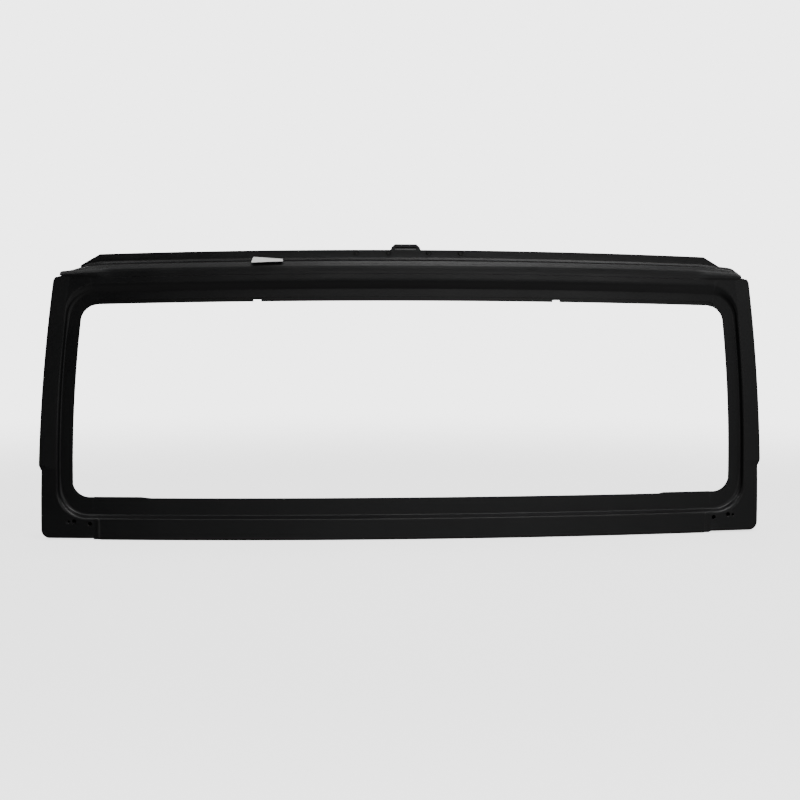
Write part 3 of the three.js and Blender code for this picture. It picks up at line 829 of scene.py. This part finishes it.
def pillar_rails():
    """The door rails over the pillars' faces and sides, tucked in at both ends."""
    heights = np.concatenate([
        np.linspace(DOOR_END, DOOR_BOTTOM, 13),
        np.linspace(DOOR_BOTTOM, DOOR_SHOULDER, 90)[1:],
        np.linspace(DOOR_SHOULDER, DOOR_TOP, 9)[1:]])
    low = 0.5 + 0.5 * np.cos(math.pi * ramp(heights, DOOR_END, DOOR_BOTTOM))
    high = ramp(heights, DOOR_SHOULDER, DOOR_TOP) ** 1.6
    tucked = np.maximum(low, high)
    outer = side_at(OUTER_SIDE, heights) - DOOR_TUCK * tucked
    inner = side_at(OPENING_SIDE, heights) + DOOR_INNER_OFFSET
    lip = DOOR_LIP * (1 - 0.75 * tucked)
    front = -LAYER + (LAYER - DOOR_FOOT_PROUD) * low
    section = ((inner, FEATHER), (outer, front), (outer, DOOR_DEPTH),
               (outer - lip, DOOR_DEPTH))
    grid = np.stack([place(x, depth, heights) for x, depth in section], axis=1)
    grid = filleted(grid, DOOR_ROUNDS, 7, (8, 3, 2))
    for side, sign in SIDES:
        name = f"{side}_door_rail"
        coated(sheet_mesh(name, on_side(grid, sign)), f"{side}_pillar_rail")


# ---------- inner panels

INNER_DEPTH = GLASS_DEPTH + LAYER
INNER_INSET = SHEET + LAYER
INNER_EDGE = {"bottom": 86.5, "top": 487, "side": OPENING_SIDE, "offset": 1,
              "lower_radius": 34, "upper_radius": 31}
INNER_FOOT = {"bottom": 62, "top": 506, "side": OPENING_SIDE, "offset": 23,
              "lower_radius": 50, "upper_radius": 42}
INNER_WALL = {"bottom": 54, "top": 515, "side": OPENING_SIDE, "offset": 29,
              "lower_radius": 56, "upper_radius": 46}
INNER_OUTSIDE = {"bottom": FACE["bottom"] + INNER_INSET, "top": FACE["top"] - INNER_INSET,
                 "side": OUTER_SIDE, "offset": -SIDE_STEP - INNER_INSET,
                 "lower_radius": 14, "upper_radius": 6, "fall": FACE_FALL}
INNER_SIDE_STEPS = 150
INNER_ROUNDS = (4, 6, 3, 2)  # at the foot, the rear wall's inner and outer bend, the hem
PILLAR_HOLE_LEVELS = (180, 300, 420)
PILLAR_HOLE_RADIUS = 8
HEADER_BACK_TOP = 562
HEADER_SLOTS = (-440, -255, -80, 80, 255, 440)
HEADER_SLOT = (46, 16)  # length and height
HEADER_SLOT_LEVEL = 538
SILL_SLOTS = (-450, -270, -90, 90, 270, 450)
SILL_SLOT = (60, 20)
SILL_SLOT_LEVEL = 28
SILL_BACK_TOP = 84.4
SILL_BACK_RISE = 2.6  # its upper edge rises by this over SILL_BACK_RAMP
SILL_BACK_RAMP = (528, 538)
SILL_HEM = 16
COLLAR_WIDTH = 5
COLLAR_HEIGHT = 2.6


def pressed_in(grid, x, z, radius, straight=0):
    """Presses a collar forward round a hole, or round a slot whose centres lie straight apart."""
    centre = place(x, BOX_DEPTH, z)
    across = np.maximum(np.abs(grid[..., 0] - centre[0]) - straight / 2, 0)
    distance = np.hypot(across, grid[..., 2] - centre[2])
    grid[..., 1] -= COLLAR_HEIGHT * eased(ramp(distance, radius + COLLAR_WIDTH, radius))


def refined(low, high, step, centres, reach, fine):
    """Stations from low to high, step apart, and fine apart within reach of each centre."""
    stations = [low]
    while stations[-1] < high - 1e-6:
        here = stations[-1]
        near = any(c - reach - fine < here < c + reach for c in centres)
        ahead = min([c - reach for c in centres if c - reach > here + 1e-6], default=high)
        onward = here + fine if near else min(here + step, max(ahead, here + fine))
        stations.append(min(high, onward))
    return np.array(stations)


def pillar_hole_x(z):
    """Halfway across the pillar's rear wall."""
    inner = side_at(OPENING_SIDE, z) + INNER_WALL["offset"]
    return (inner + side_at(OUTER_SIDE, z) - SIDE_STEP - INNER_INSET) / 2


def pillar_inner_panels():
    edge, foot, wall, outside = (frame_line(**line, side_steps=INNER_SIDE_STEPS)
                                 for line in (INNER_EDGE, INNER_FOOT, INNER_WALL, INNER_OUTSIDE))
    lines = [(edge, INNER_DEPTH), (foot, INNER_DEPTH), (wall, BOX_DEPTH), (outside, BOX_DEPTH),
             (outside, INNER_DEPTH)]
    grid = filleted(line_grid(lines, "pillar"), INNER_ROUNDS[:3], 6, (3, 2, 24, 3))
    holes = [(pillar_hole_x(z), z, PILLAR_HOLE_RADIUS) for z in PILLAR_HOLE_LEVELS]
    for x, z, radius in holes:
        pressed_in(grid, x, z, radius)
    for side, sign in SIDES:
        name = f"{side}_pillar_back"
        panel = sheet_mesh(name, on_side(grid, sign))
        cut(panel, [plain_cutter(sign * x, BOX_DEPTH, z, radius) for x, z, radius in holes])
        coated(panel, f"{side}_pillar_inner_panel")


def resampled(grid, stations):
    """The grid at other places across the frame, by straight lines between its rows."""
    x = grid[:, 0, 0]
    order = np.argsort(x)
    flat = grid[order].reshape(len(x), -1)
    columns = [np.interp(stations, x[order], flat[:, k]) for k in range(flat.shape[1])]
    return np.stack(columns, axis=1).reshape(len(stations), *grid.shape[1:])


def header_inner_panel():
    """The rear half of the header box, with access slots and two locating notches."""
    rear_top = frame_line(FACE["bottom"], HEADER_BACK_TOP, OUTER_SIDE, **FACE_RADII)
    lines = [(opening_line, INNER_DEPTH), (frame_line(**INNER_FOOT), INNER_DEPTH),
             (frame_line(**INNER_WALL), BOX_DEPTH), (rear_top, BOX_DEPTH)]
    grid = filleted(line_grid(lines, "header"), INNER_ROUNDS[:2], 6, (3, 2, 20))
    grid = resampled(grid, refined(-RING_SPLIT, RING_SPLIT, 12, HEADER_SLOTS, 32, 2)[::-1])
    length, height = HEADER_SLOT
    for x in HEADER_SLOTS:
        pressed_in(grid, x, HEADER_SLOT_LEVEL, height / 2, length - height)
    panel = sheet_mesh("header_back", grid)
    cutters = [slot_cutter(x, BOX_DEPTH, HEADER_SLOT_LEVEL, length, height) for x in HEADER_SLOTS]
    half = NOTCH_WIDTH / 2
    outline = [(-half, -NOTCH_HEIGHT), (half, -NOTCH_HEIGHT),
               (half - 1, NOTCH_HEIGHT), (1 - half, NOTCH_HEIGHT)]
    for x in NOTCH_PLACES:
        notch = extruded("cutter", outline, -8, 8)
        notch.matrix_world = frame_matrix(x, INNER_DEPTH, OPENING["top"])
        cutters.append(notch)
    cut(panel, cutters)
    coated(panel, "header_inner_panel")


def sill_inner_panel():
    """The rear half and the underside of the sill box, with access slots."""
    end = RING_SPLIT - GAP
    stations = refined(-end, end, 12, SILL_SLOTS, 40, 2)
    top = SILL_BACK_TOP + SILL_BACK_RISE * eased(ramp(np.abs(stations), *SILL_BACK_RAMP))
    hem = 2 * LAYER + SHEET
    section = ((INNER_DEPTH, top), (INNER_DEPTH, INNER_FOOT["bottom"]),
               (BOX_DEPTH, INNER_WALL["bottom"]), (BOX_DEPTH, SHEET), (hem, SHEET), (hem, SILL_HEM))
    grid = np.stack([place(stations, depth, z) for depth, z in section], axis=1)
    grid = filleted(grid, INNER_ROUNDS, 6, (3, 2, 24, 4, 2))
    length, height = SILL_SLOT
    for x in SILL_SLOTS:
        pressed_in(grid, x, SILL_SLOT_LEVEL, height / 2, length - height)
    panel = sheet_mesh("sill_back", grid)
    cut(panel, [slot_cutter(x, BOX_DEPTH, SILL_SLOT_LEVEL, length, height) for x in SILL_SLOTS])
    coated(panel, "sill_inner_panel")


# ---------- plates and fasteners

def rounded_outline(corners, radius, steps=5):
    """An (x, z) outline with its corners rounded."""
    corners = np.asarray(corners, float)
    points = []
    for before, bend, after in zip(np.roll(corners, 1, 0), corners, np.roll(corners, -1, 0)):
        back, ahead = unit(before - bend), unit(after - bend)
        half = math.acos(np.clip(back @ ahead, -1, 1)) / 2
        room = 0.45 * min(np.linalg.norm(before - bend), np.linalg.norm(after - bend))
        reach = min(radius / math.tan(half), room)
        start, end, weight = bend + back * reach, bend + ahead * reach, math.sin(half)
        points += [conic(start, bend, end, weight, t) for t in np.linspace(0, 1, steps + 1)]
    return [tuple(p) for p in points]


def plate(name, corners, thickness, holes=(), corner_radius=3, extra_cutters=()):
    """A flat plate with its front at depth 0, rounded corners, bored holes and broken edges."""
    piece = extruded(name, rounded_outline(corners, corner_radius), 0, thickness)
    cutters = [revolved("cutter", [(radius, -9), (radius, 9)], 40) for _, _, radius in holes]
    for cutter, (x, z, _) in zip(cutters, holes):
        cutter.matrix_world = Matrix.Translation((x * MM, 0, z * MM))
    cut(piece, cutters + list(extra_cutters))
    bevel = piece.modifiers.new("broken edges", "BEVEL")
    bevel.width = 0.35 * MM
    bevel.segments = 2
    bevel.angle_limit = math.radians(50)
    baked(piece)
    return piece


def seat(piece, x, depth, z):
    """Moves a piece from its own origin to its place, turned with the bow."""
    piece.data.transform(frame_matrix(x, depth, z))


def rectangle(width, height, chamfer):
    x, z = width / 2, height / 2
    return [(-x + chamfer, -z), (x - chamfer, -z), (x, -z + chamfer), (x, z - chamfer),
            (x - chamfer, z), (-x + chamfer, z), (-x, z - chamfer), (-x, -z + chamfer)]


GUSSET = [(590, 520), (668, 520), (686, 502), (690, 440), (712, 440), (704, 532), (590, 540)]
GUSSET_CENTRE = (650, 500)
GUSSET_HOLES = ((40, 12, 4), (46, -30, 4))  # from that centre, and radius
GUSSET_SEAT = BOX_DEPTH + 2.6
PADS = {
    "visor": {"size": (64, 22), "hole": 20, "x": 350, "depth": BOX_DEPTH + 2.2, "z": 532},
    "latch": {"size": (56, 20), "hole": 17, "x": 560, "depth": BOX_DEPTH + 2 * LAYER + 0.4, "z": 566},
}
PAD_CHAMFER = 4
PAD_THICKNESS = 3
PAD_HOLE_RADIUS = 3


def rear_plates():
    """Corner gussets, and the tapped plates for the sun visors and the top's latches."""
    centre_x, centre_z = GUSSET_CENTRE
    for side, sign in SIDES:
        name = f"{side}_gusset_plate"
        corners = [(sign * (x - centre_x), z - centre_z) for x, z in GUSSET][::sign]
        gusset = plate(name, corners, SHEET, [(sign * x, z, r) for x, z, r in GUSSET_HOLES], 5)
        seat(gusset, sign * centre_x, GUSSET_SEAT, centre_z)
        coated(gusset, f"{side}_corner_gusset")
        for kind, pad in PADS.items():
            name = f"{side}_{kind}_pad"
            holes = [(s * pad["hole"], 0, PAD_HOLE_RADIUS) for s in (-1, 1)]
            piece = plate(name, rectangle(*pad["size"], PAD_CHAMFER), PAD_THICKNESS, holes, 2)
            seat(piece, sign * pad["x"], pad["depth"], pad["z"])
            coated(piece, f"{side}_{kind}_plate")


BRACKET_HALF = 54
TAB_HALVES = (30.5, 29, 22)  # half widths of the tab at its root, its middle and its top
TAB_MIDDLE = 6  # height of its middle above the shoulder
TAB_POCKET = [(-0.5, 587.4), (1.9, 591.8), (1.9, 593.4), (-0.5, 595.6)]  # (depth, z)
TAB_POCKET_HALF = 22
TAB_ROUND = 5


def centre_bracket():
    """The bracket in the middle of the plate, and the tab with a shallow pocket on top of it."""
    tab, foot, shoulder, top = (BRACKET[k] for k in ("tab", "foot", "shoulder", "top"))
    outline = list(zip(TAB_HALVES, (shoulder, shoulder + TAB_MIDDLE, top)))
    corners = [(-BRACKET_HALF, foot), (BRACKET_HALF, foot), (BRACKET_HALF, shoulder),
               *[(tab + x, z) for x, z in outline], *[(tab - x, z) for x, z in outline[::-1]],
               (-BRACKET_HALF, shoulder)]
    pocket = cross_prism("cutter", TAB_POCKET, tab - TAB_POCKET_HALF, tab + TAB_POCKET_HALF)
    bolt_x = FLANGE_BOLT_PLACES["bracket"]
    holes = [(s * bolt_x, FLANGE_BOLT["z"], FLANGE_BOLT["hole"]) for s in (-1, 1)]
    piece = plate("centre_tab", corners, BRACKET["thickness"], holes, TAB_ROUND, [pocket])
    origin = Vector((0, BRACKET["seat"] + depth_origin, height_origin))
    piece.data.transform(Matrix.Translation(origin * MM))
    coated(piece, "centre_bracket", angle=20)


CHAMFER_RUN = 1.73


def hex_radii(flats, from_end):
    """Radius at each angle of a chamfered hexagon, at a distance from its nearer end."""
    angles = np.linspace(0, 2 * math.pi, ROUND_STEPS, endpoint=False)
    sides = flats / 2 / np.cos(np.mod(angles, math.pi / 3) - math.pi / 6)
    return np.minimum(sides, 0.475 * flats + from_end * CHAMFER_RUN)


CHAMFER_LEVELS = (0, 0.2, 0.4, 0.7, 1.1)
THREAD_PITCH = 1.0
THREAD_DEPTH = 0.28


def bolt_rings(flats, head, shank, length):
    rings = [(0.3 * flats, -head + 0.35), (0.34 * flats, -head + 0.3), (0.38 * flats, -head)]
    rings += [(hex_radii(flats, d), -head + d) for d in CHAMFER_LEVELS]
    rings += [(hex_radii(flats, 2), -0.45), (0.47 * flats, -0.4), (0.47 * flats, 0), (shank, 0)]
    turns = int((length - 1.5) / THREAD_PITCH)
    for k in range(turns):
        start = 1 + k * THREAD_PITCH
        rings += [(shank, start), (shank - THREAD_DEPTH, start + THREAD_PITCH / 2)]
    rings += [(shank, 1 + turns * THREAD_PITCH), (shank - 0.6, length - 1)]
    return rings


def nut_rings(flats, height, bore):
    rings = [(hex_radii(flats, d), d) for d in CHAMFER_LEVELS]
    rings += [(hex_radii(flats, d), height - d) for d in CHAMFER_LEVELS[::-1]]
    rings += [(bore + 0.5, height), (bore, height - 0.5)]
    turns = int((height - 1) / THREAD_PITCH)
    for k in range(turns):
        rings.append((bore + THREAD_DEPTH * (1 - k % 2), height - 0.9 - k * THREAD_PITCH))
    rings += [(bore, 0.5), (bore + 0.5, 0)]
    return rings


def plated(piece, node):
    smooth(piece, 30)
    finish_piece(piece, nodes=[node], material=zinc)


BOLT_LENGTH = 14
SCREW_SEAT = BOX_DEPTH + 2.4


def fasteners():
    """Bolts and nuts of the top flange, and the weld nuts on the hinge plates."""
    keys = ("z", "hole", "shank", "flats", "head", "nut")
    z, hole, shank, flats, head, height = (FLANGE_BOLT[k] for k in keys)
    behind = {"bracket": BRACKET["seat"] + BRACKET["thickness"], "flange": BOX_DEPTH + 2 * LAYER}
    hinge_seat = 2 * LAYER + HINGE_PLATE_THICKNESS - SHEET
    for side, sign in SIDES:
        for held, x in FLANGE_BOLT_PLACES.items():
            bolt = revolved(f"{held}_screw_{side}", bolt_rings(flats, head, shank, BOLT_LENGTH))
            seat(bolt, sign * x, SCREW_SEAT, z)
            plated(bolt, f"{held}_bolt_{side}")
            nut = revolved(f"{held}_hexnut_{side}", nut_rings(flats, height, hole), closed=True)
            seat(nut, sign * x, behind[held] + 2 * GAP, z)
            plated(nut, f"{held}_nut_{side}")
        for k, (x, level, _) in enumerate(HINGE_BOLTS[:2], 1):
            nut = revolved(f"{side}_hinge_weld_nut_{k}", nut_rings(**HINGE_NUT), closed=True)
            seat(nut, sign * x, hinge_seat, level)
            plated(nut, f"{side}_hinge_nut_{k}")


# ---------- build pieces

header_outer_panel()
pillar_outer_panels()
sill_outer_panel()
sill_cowl_flange()
header_rail()
header_top_flange()
part_label()
pillar_rails()
pillar_inner_panels()
header_inner_panel()
sill_inner_panel()
rear_plates()
centre_bracket()
fasteners()

# The CAD nodes that no piece stands for stay, and only get the coat.
replaced = {n for o in bpy.data.objects for n in o.get("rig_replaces", [])}
for name, node in frame["nodes"].items():
    if name not in replaced:
        node.data.materials.clear()
        node.data.materials.append(coat)


# ---------- camera and light

CAMERA = {"focal": 1775.554, "yaw": 0.107332, "pitch": 0.07479, "roll": 0.004325,
          "distance": 3600, "aim": (0, 0, 300), "aim_at": (10.87, -7.16)}
IMAGE_WIDTH = 800
SENSOR = 36

FLOOR_GLOW = 2.4
FLOOR_SOLID = 1.1
FLOOR_RADIUS = 3.2
FLOOR_GAP = 0.0005
BACKDROP = 4.0
# What the frame sees of the room: axis, where the glow starts, where it is full, how strong.
ROOM = (
    ("X", -0.25, 0.9, 0.42),
    ("X", -0.5, -0.95, 0.35),
    ("Z", 0.45, 0.85, -0.3),
    ("Y", 0.1, 0.9, 0.5),
    ("Z", -0.45, -0.85, 0.2),
)


def add_camera():
    yaw, pitch, roll = CAMERA["yaw"], CAMERA["pitch"], CAMERA["roll"]
    right = Vector((math.cos(yaw), -math.sin(yaw), 0))
    ahead = Vector((math.sin(yaw) * math.cos(pitch), math.cos(yaw) * math.cos(pitch), -math.sin(pitch)))
    up = Vector((math.sin(yaw) * math.sin(pitch), math.cos(yaw) * math.sin(pitch), math.cos(pitch)))
    distance = CAMERA["distance"]
    side, rise = (v * distance / CAMERA["focal"] for v in CAMERA["aim_at"])
    aim = Vector(CAMERA["aim"]) + Vector((0, depth_origin, height_origin))
    location = aim - (right * side + ahead * distance - up * rise)
    rolled_right = right * math.cos(roll) + up * math.sin(roll)
    rolled_up = up * math.cos(roll) - right * math.sin(roll)
    data = bpy.data.cameras.new("camera")
    data.sensor_width = SENSOR
    data.lens = SENSOR * CAMERA["focal"] / IMAGE_WIDTH
    data.clip_end = 200
    camera = bpy.data.objects.new("camera", data)
    rotation = Matrix((rolled_right, rolled_up, -ahead)).transposed().to_4x4()
    camera.matrix_world = Matrix.Translation(location * MM) @ rotation
    bpy.context.scene.collection.objects.link(camera)
    bpy.context.scene.camera = camera


def add_area_light(name, location, target, size, power):
    data = bpy.data.lights.new(name, "AREA")
    data.shape = "RECTANGLE"
    data.size, data.size_y = size
    data.energy = power
    light = bpy.data.objects.new(name, data)
    light.location = location
    light.visible_camera = False
    light.rotation_euler = (Vector(target) - Vector(location)).to_track_quat("-Z", "Y").to_euler()
    bpy.context.scene.collection.objects.link(light)


def add_floor():
    """A pale floor that fades out all round, so that no horizon crosses the picture."""
    material, tree, shader = new_material("floor")
    tone = mix_colour(tree, noise(tree, 0.4, 3), (0.80, 0.80, 0.80), (0.83, 0.83, 0.83))
    position = add_node(tree, "NewGeometry", {}).outputs["Position"]
    distance = add_node(tree, "VectorMath", {0: position}, operation="LENGTH").outputs["Value"]
    fade = remap(tree, distance, 1, 0, FLOOR_SOLID, FLOOR_RADIUS, interpolation_type="SMOOTHSTEP")
    feed(shader, {"Base Color": tone, "Emission Color": tone, "Emission Strength": FLOOR_GLOW,
                  "Roughness": 0.9, "Specular IOR Level": 0.1, "Alpha": fade})
    angles = np.linspace(0, 2 * math.pi, 96, endpoint=False)
    rim = [(FLOOR_RADIUS / MM * math.cos(a), FLOOR_RADIUS / MM * math.sin(a), 0) for a in angles]
    floor = mesh_object("floor", rim, [tuple(range(len(rim)))])
    floor.location.z = cad_box[0][2] - FLOOR_GAP
    floor.data.materials.append(material)
    floor.visible_diffuse = floor.visible_glossy = floor.visible_shadow = False


def add_world():
    """A white studio backdrop. What lights the frame is dimmer, and brightest on its right."""
    world = bpy.data.worlds.new("studio")
    world.use_nodes = True
    tree = world.node_tree
    direction = add_node(tree, "TexCoord", {}).outputs["Generated"]
    axes = add_node(tree, "SeparateXYZ", {"Vector": direction}).outputs
    total = None
    for axis, start, end, level in ROOM:
        glow = remap(tree, axes[axis], 0, level, start, end)
        total = glow if total is None else add_values(tree, total, glow)
    to_camera = add_node(tree, "LightPath", {}).outputs["Is Camera Ray"]
    strength = add_node(tree, "Mix", {"Factor": to_camera, "A": total, "B": BACKDROP})
    feed(tree.nodes["Background"], {"Color": (1, 1, 1, 1), "Strength": strength.outputs["Result"]})
    bpy.context.scene.world = world


add_camera()
add_world()
add_floor()
add_area_light("key", (0.9, -1.5, 3.1), (0, 0, 0.35), (2.0, 0.8), 46)
add_area_light("front", (0.9, -3.96, 0.95), (0, 0, 0.5), (3.4, 0.7), 18)
add_area_light("low", (0.3, -3.96, -0.72), (0, 0, 0.1), (4.6, 0.5), 9)
add_area_light("nose", (-0.8, -1.3, 2.5), (0, 0, 0.55), (4.2, 0.7), 23)
add_area_light("rear", (0.0, 3.0, 1.35), (0, 0, 0.55), (3.4, 0.7), 18)
add_area_light("left", (-2.6, -0.5, 3.1), (0, 0, 0.3), (0.9, 0.9), 22)
add_area_light("right", (2.4, 0.1, 2.3), (0, 0, 0.3), (0.9, 0.9), 22)
